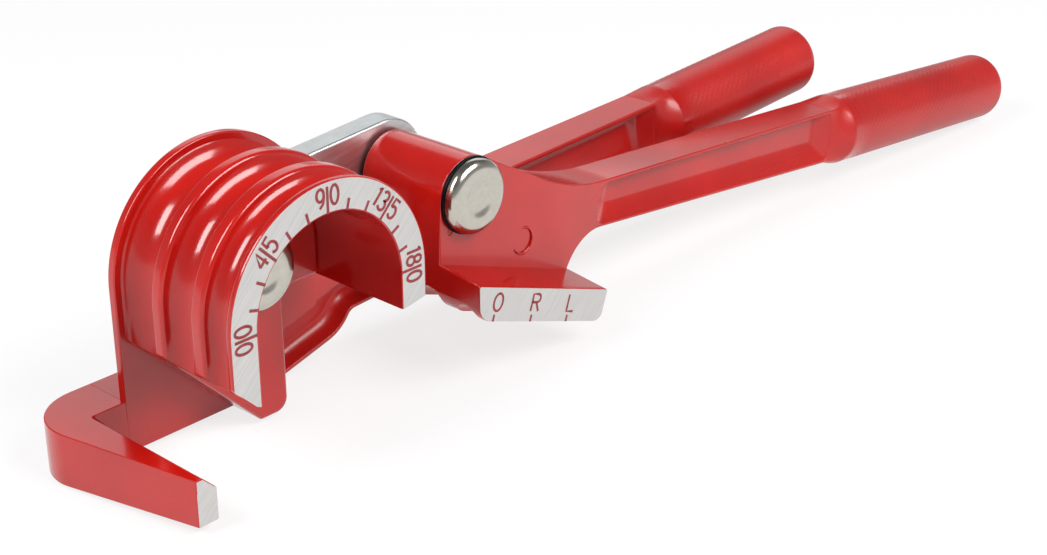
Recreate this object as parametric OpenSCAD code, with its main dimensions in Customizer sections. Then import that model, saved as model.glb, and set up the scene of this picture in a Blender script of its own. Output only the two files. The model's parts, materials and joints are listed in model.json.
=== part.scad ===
// Lever tube bender for three tube sizes, folded, standing on its hook and its forming grip.
// Millimetres. X runs from the hook to the grips, Y from the scale face to the back, Z is up.

/* [Former] */
// Radius of every rim, and of the centre line of the bent tube
bend_radius = 24; // [22:0.5:30]
// Tube of the front groove
tube_small = 6; // [4:0.5:7]
// Tube of the middle groove
tube_mid = 8; // [7:0.5:9]
// Tube of the back groove
tube_large = 10; // [9:0.5:12]
// Room round a tube in its groove
tube_room = 0.15; // [0.1:0.05:0.3]
// Rim in front of the small groove
rim_front = 1.5; // [1:0.1:3]
// Rim between the small and middle grooves
rim_mid = 3.4; // [2:0.1:5]
// Rim between the middle and large grooves
rim_back = 3.1; // [2:0.1:5]
// Back flange thickness
flange_t = 2; // [1.5:0.1:3]
// Rise of the back flange over the rims
flange_over = 0.4; // [0:0.1:1]
// Width of the scale ring round the arch
scale_ring = 6.4; // [6.2:0.1:8]
// Web thickness between the arch and the flange
web_t = 8.9; // [6:0.1:12]
// Straight leg under the 0 mark
zero_leg = 8.9; // [6:0.1:12]
// Straight leg under the 180 mark
end_leg = 7.6; // [5:0.1:10]
// Depth of the degree lines
line_depth = 0.25; // [0.2:0.05:0.4]
// Width of the degree lines
line_w = 0.55; // [0.4:0.05:0.8]

/* [Hook and back plate] */
// Depth of the base below the former's axis
base_drop = 34.2; // [32:0.1:40]
// Height of the hook and its bar
hook_h = 11.2; // [9:0.1:12]
// Rise of the hook's underside towards its tip
hook_rise = 1.4; // [0:0.1:3]
// Width of the hook at its bare tip
hook_tip = 4.6; // [4:0.1:8]
// Width of the hook at its corner
hook_root = 11; // [9:0.1:14]
// Width of the hook's inner chamfer
chamfer_w = 3; // [2:0.1:3.4]
// Depth of the hook's inner chamfer
chamfer_h = 3.4; // [2:0.1:5]
// Inner fillet between hook and bar
hook_fillet = 1; // [0.5:0.1:4]
// Thickness of bar, back plate and body arm
body_t = 11.6; // [10:0.1:13]
// Right edge of the neck, from the former's axis
neck_edge = 8.2; // [6:0.1:11]
// Fillets of the neck
neck_fillet = 3; // [1:0.1:5]
// Radius of the round right side of the back plate
plate_radius = 10.3; // [9:0.1:11]
// Centre of that round side, right of the former's axis
plate_x = 24.8; // [22:0.1:28]
// Hollow between that round side and the body arm
side_hollow = 6; // [4:0.1:8]
// Room between link and back plate
link_room = 0.6; // [0.5:0.1:2]

/* [Body handle] */
// Drop of its axis below the former's axis
body_drop = 19.6; // [18:0.1:22]
// Rise of its axis towards the grip
body_rise = 2.85; // [1:0.05:4]
// Arm height under its axis
body_under = 6.3; // [5:0.1:7]
// Arm height over its axis, at the grip
body_over = 6.9; // [5:0.1:7.2]
// Start of its grip
body_grip_from = 139; // [120:1:160]
// Length of its grip
body_grip_len = 62; // [50:1:90]
// Depth of its pockets
body_pocket = 4; // [2:0.1:4.4]

/* [Grips] */
// Grip diameter
grip_d = 18.2; // [17:0.1:19]
// Rounding of the grip ends
grip_edge = 3.5; // [1:0.1:6]
// Length of the cone between arm and grip
grip_cone = 5; // [3:0.5:8]
// Rim round the arm pockets
pocket_rim = 1.5; // [1:0.1:2.5]

/* [Link] */
// Distance between centre pin and pivot pin
link_len = 48.5; // [47:0.5:60]
// Link width
link_w = 20.4; // [18:0.2:22]
// Link thickness
link_t = 6; // [4:0.1:7]
// Angle of the link as folded
link_rest = 4.2; // [0:0.1:10]

/* [Pins] */
// Pin diameter
pin_d = 8; // [6:0.1:9]
// Head diameter
head_d = 16; // [14:0.1:18]
// Head thickness
head_t = 2.6; // [2:0.1:4]
// Depth of the dish in a head
dish = 0.5; // [0.2:0.1:1]
// Washer diameter
washer_d = 13; // [12:0.1:15]
// Diameter of the washer under the pivot pin's head
pivot_washer_d = 16.6; // [13:0.1:18]
// Thickness of the washer under a head
head_washer_t = 0.7; // [0.5:0.1:1.5]
// Thickness of the spacer under the head of the pin in the former
center_washer_t = 2.9; // [0.5:0.1:4]
// Thickness of the thrust washer in front of the link
thrust_t = 0.6; // [0.4:0.1:1]
// Thickness of the washer behind the link
back_washer_t = 1.2; // [0.8:0.1:2]
// Snap ring thickness
clip_t = 1; // [0.8:0.1:1.5]
// Snap ring diameter
clip_d = 11.4; // [10:0.1:12]
// Depth of the snap ring's groove
clip_groove = 0.8; // [0.5:0.1:1.2]
// Pin length past its snap ring
pin_past = 1; // [0.6:0.1:2]
// Room round a pin that turns in its bore
pin_room = 0.05; // [0.02:0.01:0.1]
// Room between flat faces that slide
face_room = 0.06; // [0.04:0.01:0.15]

/* [Forming handle] */
// Opening of the handle as folded, from its bending position
handle_open = 66.1; // [60:0.1:75]
// Boss diameter
boss_d = 16.6; // [15:0.1:18]
// Front of the arm plate, behind the scale face
plate_front = 11.9; // [10:0.1:14]
// Thickness of the arm plate
arm_t = 13.4; // [11:0.1:14]
// Room between shoe and rims in the bending position
shoe_room = 1; // [0.5:0.1:2]
// Shoe end behind the pivot
shoe_behind = 1.4; // [0.5:0.1:2]
// Shoe end ahead of the pivot
shoe_ahead = 38.4; // [34:0.1:44]
// Shoe thickness at the index face
shoe_h = 7.3; // [6.5:0.1:8]
// Room between shoe and back plate
shoe_back_room = 0.5; // [0.3:0.1:1]
// Corner radius of the index face
shoe_corner = 2; // [1:0.1:2.5]
// Angle between shoe and arm
arm_angle = 14.2; // [10:0.1:18]
// Drop of the arm's axis from the pivot
arm_drop = 12.3; // [10:0.1:14]
// Arm height
arm_h = 10.8; // [9:0.1:11.5]
// Arm height over its axis, at the grip
arm_over = 6.1; // [5:0.1:6.2]
// Start of the arm pockets
arm_pocket_from = 43.5; // [42:0.5:60]
// Start of the forming grip
arm_grip_from = 134; // [120:1:150]
// Length of the forming grip
arm_grip_len = 87.5; // [70:0.5:110]
// Depth of the front pocket
arm_pocket = 5; // [3:0.1:5]
// Depth of the back pocket
arm_pocket_back = 4; // [2:0.1:4.5]
// Hollow of the plate's upper edge
top_hollow = 62; // [40:1:70]
// Hollow of the plate's lower edge
low_hollow = 12.5; // [8:0.1:15]

/* [Hidden] */
$fn = 96;
far = 400;
cut = 1;
// Overlap where a flat runs into a round
bite = 0.05;

rs = tube_small / 2 + tube_room;
rm = tube_mid / 2 + tube_room;
rl = tube_large / 2 + tube_room;
ys = rim_front + rs;
ym = ys + rs + rim_mid + rm;
yl = ym + rm + rim_back + rl;
flange_front = yl + rl;
flange_back = flange_front + flange_t;
body_back = flange_front + body_t;
body_mid = flange_front + body_t / 2;
web_front = flange_front - web_t;
arch_radius = bend_radius - scale_ring;

link_front = flange_back + thrust_t + 2 * face_room;
link_back = link_front + link_t;
pin_r = pin_d / 2;
clip_r = pin_r - clip_groove;
head_r = head_d / 2;
pivot = link_len * [cos(link_rest), sin(link_rest)];

grip_r = grip_d / 2;
body_grip_to = body_grip_from + body_grip_len;
arm_grip_to = arm_grip_from + arm_grip_len;
hook_face = bend_radius + rl;
hook_out = hook_face + hook_root;
hook_top = base_drop - hook_h;
hook_turn = [-hook_out + hook_root, body_back - hook_root];
plate_mid = [plate_x, -body_drop + 0.4];

handle_turn = link_rest - 90 + handle_open;
grip_turn = handle_turn + arm_angle;
land = link_len - bend_radius - shoe_room;
shoe_top = land - shoe_h;
shoe_front = 0.2;
shoe_back = flange_front - shoe_back_room;
arm_mid = plate_front + arm_t / 2;
boss_r = boss_d / 2;

// Lowest point of the forming grip, and the lean that sets it level with the hook's base
grip_ring = pivot + turned([arm_grip_to - grip_edge, -arm_drop], grip_turn);
grip_low = grip_ring + (grip_r - grip_edge) * [sin(grip_turn), -cos(grip_turn)] - [0, grip_edge];
lean = atan2(-base_drop - grip_low[1], grip_low[0] + hook_out);
ring_led = turned(grip_ring, lean);
x_low = turned([-hook_out, -hook_top], lean)[0];
x_high = ring_led[0] + (grip_r - grip_edge) * abs(sin(grip_turn + lean)) + grip_edge;
z_low = turned([-hook_out, -base_drop], lean)[1];
y_high = body_mid + grip_r;

function turned(p, a) = [p[0] * cos(a) - p[1] * sin(a), p[0] * sin(a) + p[1] * cos(a)];
function unit(a) = [cos(a), sin(a)];
// Point where a ray from p along d leaves the circle of radius r round c
function ray_circle(p, d, c, r) =
    let (e = p - c, b = e * d) p + d * (sqrt(b * b - e * e + r * r) - b);
// Touching point on the circle of radius r round c, of the line from p that passes it on one side
function touch(p, c, r, side) =
    let (e = p - c) c + r * unit(atan2(e[1], e[0]) + side * acos(r / norm(e)));
// Crossing of the line through p along d with the line through q along e
function crossing(p, d, q, e) =
    p + d * (((q[0] - p[0]) * e[1] - (q[1] - p[1]) * e[0]) / (d[0] * e[1] - d[1] * e[0]));

module stand() {
    translate([-(x_low + x_high) / 2, -y_high / 2, -z_low])
        rotate([0, -lean, 0]) children();
}
module at_pivot() {
    rotate([0, -link_rest, 0]) translate([link_len, 0, 0]) children();
}
module at_handle() {
    at_pivot() rotate([0, 90 - handle_open, 0]) children();
}
// Front view outline, from y0 back to y1
module slab(y0, y1) {
    translate([0, y1, 0]) rotate([90, 0, 0]) linear_extrude(y1 - y0) children();
}
// Profile of radius and depth, turned round the Y axis
module lathe() {
    rotate([-90, 0, 0]) rotate_extrude() children();
}
module washer(y0, t, d, room) {
    slab(y0, y0 + t) difference() {
        circle(d / 2);
        circle(pin_r + room);
    }
}
module clip(y0) {
    slab(y0, y0 + clip_t) difference() {
        circle(clip_d / 2);
        circle(clip_r);
        translate([-clip_r * 0.8, -clip_d]) square([clip_r * 1.6, clip_d]);
    }
}
// Pin with a dished head against the face at seat, and a ring groove at ring
module dished_pin(seat, ring) {
    front = seat - head_t;
    tip = ring + clip_t + pin_past;
    lathe() polygon([
        [0, front + dish], [head_r * 0.42, front + dish * 0.8], [head_r * 0.58, front],
        [head_r - 1.2, front], [head_r - 0.35, front + 0.4], [head_r, front + 1.1],
        [head_r, seat], [pin_r, seat], [pin_r, ring], [clip_r, ring], [clip_r, ring + clip_t],
        [pin_r, ring + clip_t], [pin_r, tip - 0.5], [pin_r - 0.5, tip], [0, tip]]);
}
// Grip along X from its cone to its rounded end
module grip(from, to, cone_r) {
    len = to - from;
    translate([from, 0, 0]) rotate([0, 90, 0]) rotate_extrude() {
        polygon([[0, 0], [cone_r, 0], [grip_r, grip_cone], [grip_r, len - grip_edge],
            [0, len - grip_edge]]);
        square([grip_r - grip_edge, len]);
        translate([grip_r - grip_edge, len - grip_edge]) intersection() {
            circle(grip_edge);
            square(grip_edge + cut);
        }
    }
}

// Front view of the half disc with its straight sides
module former_outline() {
    circle(bend_radius);
    translate([-bend_radius, -far]) square([2 * bend_radius, far]);
}
module arch_outline() {
    circle(arch_radius);
    translate([-arch_radius, -far]) square([2 * arch_radius, far]);
}
// What the slanted underside of the 0 leg and the neck leaves out
module under_slope() {
    polygon([[-bend_radius - far, far - zero_leg], [far - bend_radius, -far - zero_leg],
        [-far - bend_radius, -far - zero_leg]]);
}
// What the underside of the 180 leg leaves out, right of x
module under_end(x) {
    polygon([[x, -end_leg], [bend_radius - 1.5, -end_leg], [bend_radius + 1.5, 2.2 - end_leg],
        [bend_radius + 1.5, -far], [x, -far]]);
}
module groove(y, r) {
    translate([0, y, 0]) {
        intersection() {
            lathe() translate([bend_radius, 0]) circle(r);
            translate([-far / 2, -far / 2, 0]) cube(far);
        }
        for (side = [-1, 1])
            translate([side * bend_radius, 0, -base_drop]) cylinder(h = base_drop, r = r);
    }
}
module degree_lines() {
    for (i = [0 : 12]) {
        long = i % 3 == 0 ? scale_ring - 1.1 : scale_ring * 0.36;
        rotate([0, i * 15 - 180, 0])
            translate([arch_radius - cut, -cut, -line_w / 2])
                cube([long + cut, cut + line_depth, line_w]);
    }
}
module neck_outline() {
    difference() {
        former_outline();
        under_slope();
        under_end(neck_edge);
        translate([-far, -far - base_drop]) square([2 * far, far]);
        translate([neck_edge - neck_fillet, -base_drop - cut]) difference() {
            square([neck_fillet + cut, neck_fillet + cut]);
            translate([0, neck_fillet + cut]) circle(neck_fillet);
        }
    }
    translate([neck_edge, -end_leg - neck_fillet]) difference() {
        translate([-cut, 0]) square([neck_fillet + cut, neck_fillet + cut]);
        translate([neck_fillet, 0]) circle(neck_fillet);
    }
}
module arm_line() {
    translate([0, -body_drop]) rotate(body_rise) children();
}
// Height of the arm's top over its axis at the former, just clear of the link
arm_top0 = body_drop * cos(body_rise) - link_w / 2 - link_room;
arm_top_turn = body_rise + atan2(body_over - arm_top0, body_grip_from + 2);
arm_top_start = [0, -body_drop] + turned([0, arm_top0], body_rise);
arm_top_len = norm([body_over - arm_top0, body_grip_from + 2]);
under_start = [0, -body_drop] + turned([0, -body_under], body_rise);
// Slope from the neck's foot to the round side, and the hollow between that and the arm
foot = [neck_edge, -base_drop];
foot_touch = touch(foot, plate_mid, plate_radius, 1);
foot_turn = atan2(foot_touch[1] - foot[1], foot_touch[0] - foot[0]);
hollow_mid = ray_circle(under_start - side_hollow * unit(body_rise + 90), unit(body_rise),
    plate_mid, plate_radius + side_hollow);
hollow_corner = ray_circle(under_start, unit(body_rise), plate_mid, plate_radius);
hollow_round = plate_mid + (hollow_mid - plate_mid) * plate_radius / (plate_radius + side_hollow);
hollow_flat = hollow_mid + side_hollow * unit(body_rise + 90);

// Back plate and arm, under the link all along
module plate_outline() {
    intersection() {
        translate(plate_mid) circle(plate_radius);
        arm_line() translate([-far, -far]) square([2 * far, far]);
    }
    polygon([[-bend_radius - flange_over, -base_drop], foot, foot_touch, plate_mid,
        under_start + turned([plate_mid[0] + 5, 0], body_rise),
        under_start + turned([body_grip_from + 2, 0], body_rise),
        arm_top_start + arm_top_len * unit(arm_top_turn), arm_top_start,
        [arm_top_start[0] - hook_top - arm_top_start[1], -hook_top],
        [-bend_radius - flange_over, -hook_top]]);
    difference() {
        polygon([hollow_round, hollow_corner - [3, -3], hollow_flat]);
        translate(hollow_mid) circle(side_hollow);
    }
}
module flange_outline() {
    side = bend_radius + flange_over;
    circle(side);
    translate([-side, -base_drop]) square([side, base_drop]);
    translate([-cut, -body_drop]) square([side + cut, body_drop]);
}
// Long pocket from the round side of the plate along the body arm
module body_pocket_outline() {
    rim = pocket_rim + 0.5;
    inner = foot_touch + (rim + bite) * unit(foot_turn + 90);
    left = neck_edge + 4.8;
    intersection() {
        union() {
            translate(plate_mid) circle(plate_radius - rim);
            polygon([inner, plate_mid, inner + turned([-plate_x, plate_radius], foot_turn),
                inner - plate_x * unit(foot_turn)]);
            arm_line() translate([plate_mid[0] + 3, -body_under + rim]) square([far, far]);
        }
        polygon([[left, -base_drop], [left, -22], [left + 4, -21], [left + 17, -18.3],
            arm_top_start + turned([62, -rim], arm_top_turn),
            arm_top_start + turned([body_grip_from - 1, -rim], arm_top_turn),
            [body_grip_from - 1, -base_drop]]);
    }
}
module hook_plan() {
    tip = [-hook_face - hook_tip, 0];
    side = touch(tip, hook_turn, hook_root, -1);
    difference() {
        union() {
            polygon([tip, [-hook_face, 0], [-hook_face, hook_turn[1]], hook_turn, side]);
            translate(hook_turn) circle(hook_root);
            translate([hook_turn[0], flange_front]) square([bend_radius, body_t]);
        }
        translate([-hook_face, -far]) square([far, far + flange_front]);
    }
    translate([-hook_face, flange_front - hook_fillet]) difference() {
        translate([-cut, 0]) square([hook_fillet + cut, hook_fillet + cut]);
        translate([hook_fillet, 0]) circle(hook_fillet);
    }
}
module hook() {
    slope = [chamfer_w, -chamfer_h] / norm([chamfer_w, chamfer_h]);
    high = [-hook_face - chamfer_w, -hook_top];
    low = [-hook_face, -hook_top - chamfer_h];
    difference() {
        translate([0, 0, -base_drop]) linear_extrude(hook_h) hook_plan();
        translate([0, 0, -base_drop]) rotate([90, 0, 90]) translate([0, 0, -far / 2])
            linear_extrude(far / 2 - hook_face + hook_fillet + cut)
                polygon([[flange_front, 0], [-cut, hook_rise + cut * hook_rise / flange_front],
                    [-cut, -cut], [flange_front, -cut]]);
        slab(-cut, flange_front - hook_fillet)
            polygon([high - cut * slope, low + cut * slope, [low[0] + far, low[1]],
                [low[0] + far, far], [high[0], far]]);
    }
}

// Aluminium casting: former, scale face, web, neck, flange, hook and body handle
module body_casting() {
    color([0.75, 0.1, 0.1]) stand() difference() {
        union() {
            slab(0, web_front + cut) difference() {
                former_outline();
                arch_outline();
                under_slope();
                under_end(0);
            }
            slab(web_front, flange_front + cut) neck_outline();
            slab(flange_front, flange_back) flange_outline();
            slab(flange_front, body_back) plate_outline();
            hook();
            translate([0, body_mid, -body_drop]) rotate([0, -body_rise, 0])
                grip(body_grip_from, body_grip_to, 7.2);
        }
        groove(ys, rs);
        groove(ym, rm);
        groove(yl, rl);
        degree_lines();
        slab(web_front - cut, flange_back + cut) circle(pin_r);
        slab(flange_front - cut, flange_front + body_pocket) body_pocket_outline();
        slab(body_back - body_pocket, body_back + cut) arm_line()
            translate([60, -body_under + pocket_rim])
                square([body_grip_from - 61, body_under + body_over - 2 * pocket_rim]);
    }
}
// Bright steel pin with a dished head, fixed in the web
module center_pin() {
    color([0.8, 0.8, 0.82]) stand()
        dished_pin(web_front - center_washer_t, link_back + back_washer_t + face_room);
}
// Dark washer under the centre pin's head
module center_head_washer() {
    color([0.1, 0.1, 0.1]) stand() washer(web_front - center_washer_t, center_washer_t, washer_d, 0);
}
// Thin washer between flange and link
module center_thrust_washer() {
    color([0.5, 0.5, 0.5]) stand() washer(flange_back, thrust_t, washer_d, 0);
}
// Washer behind the link
module center_back_washer() {
    color([0.5, 0.5, 0.5]) stand() washer(link_back + face_room, back_washer_t, washer_d, 0);
}
// Snap ring in the centre pin's groove
module center_clip() {
    color([0.3, 0.3, 0.3]) stand() clip(link_back + back_washer_t + face_room);
}
// Zinc plated flat bar from the centre pin to the pivot pin
module link_plate() {
    color([0.7, 0.72, 0.74]) stand() rotate([0, -link_rest, 0]) slab(link_front, link_back)
        difference() {
            union() {
                circle(link_w / 2);
                translate([0, -link_w / 2]) square([link_len, link_w]);
                translate([link_len, 0]) circle(link_w / 2);
            }
            circle(pin_r + pin_room);
            translate([link_len, 0]) circle(pin_r);
        }
}
// Bright steel pin with a dished head, fixed in the link
module pivot_pin() {
    color([0.8, 0.8, 0.82]) stand() at_pivot()
        dished_pin(plate_front - head_washer_t - face_room, link_back + back_washer_t);
}
// Dark washer between the pivot pin's head and the forming handle
module pivot_head_washer() {
    color([0.1, 0.1, 0.1]) stand() at_pivot()
        washer(plate_front - head_washer_t - face_room, head_washer_t, pivot_washer_d, 0);
}
// Thin washer between boss and link
module pivot_thrust_washer() {
    color([0.5, 0.5, 0.5]) stand() at_pivot()
        washer(link_front - thrust_t, thrust_t, washer_d, 0);
}
// Washer behind the link's end
module pivot_back_washer() {
    color([0.5, 0.5, 0.5]) stand() at_pivot() washer(link_back, back_washer_t, washer_d, 0);
}
// Snap ring in the pivot pin's groove
module pivot_clip() {
    color([0.3, 0.3, 0.3]) stand() at_pivot() clip(link_back + back_washer_t);
}

// Front view of the shoe from its land up to its back edge
module shoe_outline() {
    difference() {
        polygon([[-shoe_behind, -land], [shoe_ahead, -land], [shoe_ahead, -shoe_top + 1.2],
            [0, -shoe_top + 1.2], boss_side]);
        translate([shoe_ahead - shoe_corner, -land - cut]) difference() {
            square([shoe_corner + cut, shoe_corner + cut]);
            translate([0, shoe_corner + cut]) circle(shoe_corner);
        }
        translate([-shoe_behind, -land]) rotate(-45) translate([-far / 2, -far])
            square([far, far + shoe_corner * 0.45]);
    }
}
// Point where the shoe's end plane touches the boss
boss_side = touch([-shoe_behind, -land], [0, 0], boss_r - bite, -1);
module handle_line() {
    rotate(arm_angle) translate([0, -arm_drop]) children();
}
arm_up = turned([0, arm_h / 2 - arm_drop], arm_angle);
arm_under = turned([0, -arm_h / 2 - arm_drop], arm_angle);
top_fall = -10;
boss_top = (boss_r - bite) * unit(90 + top_fall);
top_corner = crossing(boss_top, unit(top_fall), arm_up, unit(arm_angle));
top_reach = top_hollow * tan((arm_angle - top_fall) / 2);
low_corner = crossing([shoe_ahead, 0], [0, 1], arm_under, unit(arm_angle));
low_point = crossing([shoe_ahead + low_hollow, 0], [0, 1], arm_under, unit(arm_angle))
    - [0, low_hollow / cos(arm_angle)];
// Side of the arm between two stations, inside a rim
module arm_shape(from, to, rim) {
    polygon([[from, rim - arm_h / 2], [to, rim - arm_h / 2], [to, arm_over - rim],
        [from, arm_h / 2 - rim]]);
}
module plate_shape() {
    circle(boss_r);
    polygon([boss_side, [-shoe_behind, -shoe_top], [shoe_ahead, -shoe_top], low_corner,
        arm_under + (arm_pocket_from + 10) * unit(arm_angle),
        arm_up + (arm_pocket_from + 10) * unit(arm_angle), top_corner, boss_top]);
    difference() {
        polygon([top_corner - [0, 2], top_corner - top_reach * unit(top_fall),
            top_corner + top_reach * unit(arm_angle)]);
        translate(top_corner + top_reach * unit(arm_angle) + top_hollow * unit(arm_angle + 90))
            circle(top_hollow, $fn = 360);
    }
    difference() {
        polygon([[shoe_ahead, -shoe_top], [shoe_ahead - 2, low_corner[1]], low_corner + [0, 2],
            low_point + low_hollow * unit(arm_angle + 90)]);
        translate(low_point + [-bite, bite]) circle(low_hollow);
    }
    handle_line() arm_shape(arm_pocket_from - 4, arm_grip_from + grip_cone + 2, 0);
}
module arm_pocket_outline() {
    handle_line() arm_shape(arm_pocket_from, arm_grip_from + 2, pocket_rim);
}
// Aluminium casting: boss, arm plate, shoe with its index face, arm and grip
module forming_handle() {
    color([0.75, 0.1, 0.1]) stand() at_handle() difference() {
        union() {
            slab(plate_front, flange_back) circle(boss_r);
            slab(plate_front, plate_front + arm_t) plate_shape();
            slab(plate_front, shoe_back)
                polygon([boss_side, [-shoe_behind, -shoe_top], [13, -shoe_top], [boss_r - 2, 0], [0, 0]]);
            intersection() {
                slab(shoe_front, shoe_back) shoe_outline();
                rotate([90, 0, 90]) translate([0, 0, -far / 2]) linear_extrude(far)
                    polygon([[shoe_front, -land], [shoe_back, -land], [shoe_back, 1.2 - shoe_top],
                        [plate_front, 1.2 - shoe_top], [shoe_front, -shoe_top]]);
            }
            rotate([0, -arm_angle, 0]) translate([0, arm_mid, -arm_drop])
                grip(arm_grip_from, arm_grip_to, 6.4);
        }
        slab(plate_front - cut, flange_back + cut) circle(pin_r + pin_room);
        for (g = [[ys, rs], [ym, rm], [yl, rl]])
            translate([-far / 2, g[0], bend_radius - link_len]) rotate([0, 90, 0])
                cylinder(h = far, r = g[1]);
        slab(plate_front - cut, plate_front + arm_pocket) arm_pocket_outline();
        slab(plate_front + arm_t - arm_pocket_back, plate_front + arm_t + cut) arm_pocket_outline();
    }
}

body_casting();
center_pin();
center_head_washer();
center_thrust_washer();
center_back_washer();
center_clip();
link_plate();
pivot_pin();
pivot_head_washer();
pivot_thrust_washer();
pivot_back_washer();
pivot_clip();
forming_handle();
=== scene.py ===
# %% [markdown]
# # A lever tube bender for three tube sizes
# The tool is a red painted casting with three round grooves for soft tube, a second casting
# that swings round it on a link, and a few bright pins and washers. The exact solids come
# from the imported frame. This lesson dresses them: the castings get rounded edges, the
# scale gets its figures, and each surface gets the finish that the real one has.

# %% Load the frame
import json

import bmesh
import bpy
import numpy as np
from mathutils import Matrix, Vector


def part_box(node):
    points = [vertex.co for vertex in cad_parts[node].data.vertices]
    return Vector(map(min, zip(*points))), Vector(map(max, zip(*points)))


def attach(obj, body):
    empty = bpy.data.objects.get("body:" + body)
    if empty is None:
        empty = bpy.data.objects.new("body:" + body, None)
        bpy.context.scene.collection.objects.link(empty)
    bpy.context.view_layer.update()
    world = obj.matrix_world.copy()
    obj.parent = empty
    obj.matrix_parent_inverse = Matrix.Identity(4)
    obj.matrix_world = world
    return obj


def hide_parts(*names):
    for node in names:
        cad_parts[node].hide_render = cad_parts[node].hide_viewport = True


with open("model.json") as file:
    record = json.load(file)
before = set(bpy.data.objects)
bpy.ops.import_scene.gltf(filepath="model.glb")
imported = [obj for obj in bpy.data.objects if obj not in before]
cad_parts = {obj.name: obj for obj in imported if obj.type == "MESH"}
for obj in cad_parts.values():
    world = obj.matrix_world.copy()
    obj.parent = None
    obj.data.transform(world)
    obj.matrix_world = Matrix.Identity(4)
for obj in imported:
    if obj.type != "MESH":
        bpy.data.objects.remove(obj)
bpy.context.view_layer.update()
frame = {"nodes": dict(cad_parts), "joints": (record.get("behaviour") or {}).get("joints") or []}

# %% [markdown]
# ## Where things are
# Every size below is in millimetres, measured from the axis of the former, with the scale
# face at y = 0. The frame tells where that axis and the handle's pivot lie in the row, and
# so how far the tool leans when it rests on its hook and on the forming grip. Working in the
# tool's own directions keeps each outline simple, and one function sets it in place.

# %% Places from the joints
MM = 0.001
joint_at = {j["name"]: np.array(j["pos_m"]) / MM for j in frame["joints"]}
axis_at, pivot_at = joint_at["link_swing"], joint_at["handle_swing"]
front_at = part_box("body_casting")[0].y / MM
link_rest, link_len, handle_turn = 4.2, 48.5, -19.7
lean = np.degrees(np.arctan2(*(pivot_at - axis_at)[[2, 0]])) - link_rest


def unit(deg):
    """Front view direction at an angle: its cosine along x and its sine along z."""
    return np.stack([np.cos(np.radians(deg)), np.sin(np.radians(deg))], -1)


def turned(p, deg):
    """Front view points (x, z) turned by an angle, x going towards z."""
    (c, s), p = unit(deg), np.asarray(p, float)
    return np.stack([p[..., 0] * c - p[..., 1] * s, p[..., 0] * s + p[..., 1] * c], -1)


pivot = link_len * unit(link_rest)


def on_body(p):
    """Tool millimetres to row metres: turned by the lean, then shifted to the former's axis."""
    xz = turned(p[..., [0, 2]], lean) + axis_at[[0, 2]]
    return np.stack([xz[..., 0], p[..., 1] + front_at, xz[..., 1]], -1) * MM


def on_link(p):
    """The link's own millimetres, x from pin to pin, to row metres."""
    xz = turned(p[..., [0, 2]], link_rest)
    return on_body(np.stack([xz[..., 0], p[..., 1], xz[..., 1]], -1))


def on_handle(p):
    """The forming handle's millimetres, x along the shoe and the pivot at 0, to row metres."""
    xz = turned(p[..., [0, 2]], handle_turn) + pivot
    return on_body(np.stack([xz[..., 0], p[..., 1], xz[..., 1]], -1))


print("lean", round(float(lean), 3), "degrees; pivot", pivot.round(2), "mm from the axis")

# %% [markdown]
# ## The camera
# The photograph looks down at the tool from the front left with a mild long lens. The view
# was worked out from what is known on the tool: the ends of the scale's lines, the former's
# rims and straight edges along its three directions. So the render lies over the photograph.

# %% Camera
view_turn, view_rise = np.radians(-47.4957), np.radians(24.7802)
view_far, view_right, view_up = 343.307, 34.958, 4.642
sensor_wide, photo_wide, focal_px = 36, 1047, 1876.82
right = np.array([np.cos(view_turn), np.sin(view_turn), 0])
back = np.array([np.sin(view_turn) * np.cos(view_rise),
                 -np.cos(view_turn) * np.cos(view_rise), np.sin(view_rise)])
up = np.cross(back, right)
eye = right * view_right + up * view_up + back * view_far
cam_data = bpy.data.cameras.new("camera")
cam_data.sensor_width, cam_data.clip_start = sensor_wide, 0.01
cam_data.lens = sensor_wide * focal_px / photo_wide
camera = bpy.data.objects.new("camera", cam_data)
bpy.context.scene.collection.objects.link(camera)
lean_turn = np.array(Matrix.Rotation(np.radians(-lean), 3, "Y"))
stand = np.eye(4)
stand[:3, :3] = np.stack([lean_turn @ v for v in (right, up, back)], 1)
stand[:3, 3] = on_body(eye)
camera.matrix_world = Matrix(stand)
bpy.context.scene.camera = camera
print("eye at", (on_body(eye) / MM).round(1), "mm, lens", round(cam_data.lens, 2))

# %% [markdown]
# ## Finishes
# Paint, bare metal and plating differ in how they send light back, and in the small marks
# that tooling leaves. One small function adds a node and joins its sockets. Colours are
# written as they look on a screen and turned into linear values once.

# %% Helpers for materials


def colour(code):
    """Screen colour code to linear red, green, blue: the standard two-part curve."""
    c = np.array([int(code[i:i + 2], 16) for i in (1, 3, 5)]) / 255
    return (*np.where(c <= 0.04045, c / 12.92, ((c + 0.055) / 1.055) ** 2.4), 1.0)


def put(tree, kind, sockets=None, **settings):
    """Adds one node; a socket takes either a value or another node's output."""
    node = tree.nodes.new("ShaderNode" + kind)
    for key, value in settings.items():
        setattr(node, key, value)
    for key, value in (sockets or {}).items():
        if isinstance(value, bpy.types.NodeSocket):
            tree.links.new(value, node.inputs[key])
        else:
            node.inputs[key].default_value = value
    return node


def blank(name):
    """A new material with only a Principled shader and its output."""
    m = bpy.data.materials.new(name)
    m.use_nodes = True
    return m, m.node_tree, m.node_tree.nodes["Principled BSDF"]


def shades(tree, fac, low, high):
    """Colour ramp between two stops, each a place and a colour code."""
    ramp = put(tree, "ValToRGB", {"Fac": fac})
    for element, (place, code) in zip(ramp.color_ramp.elements, (low, high)):
        element.position, element.color = place, colour(code)
    return ramp.outputs["Color"]


def spread(tree, fac, low, high):
    """A 0 to 1 pattern spread between two values."""
    return put(tree, "MapRange", {"Value": fac, "To Min": low, "To Max": high}).outputs["Result"]


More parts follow.
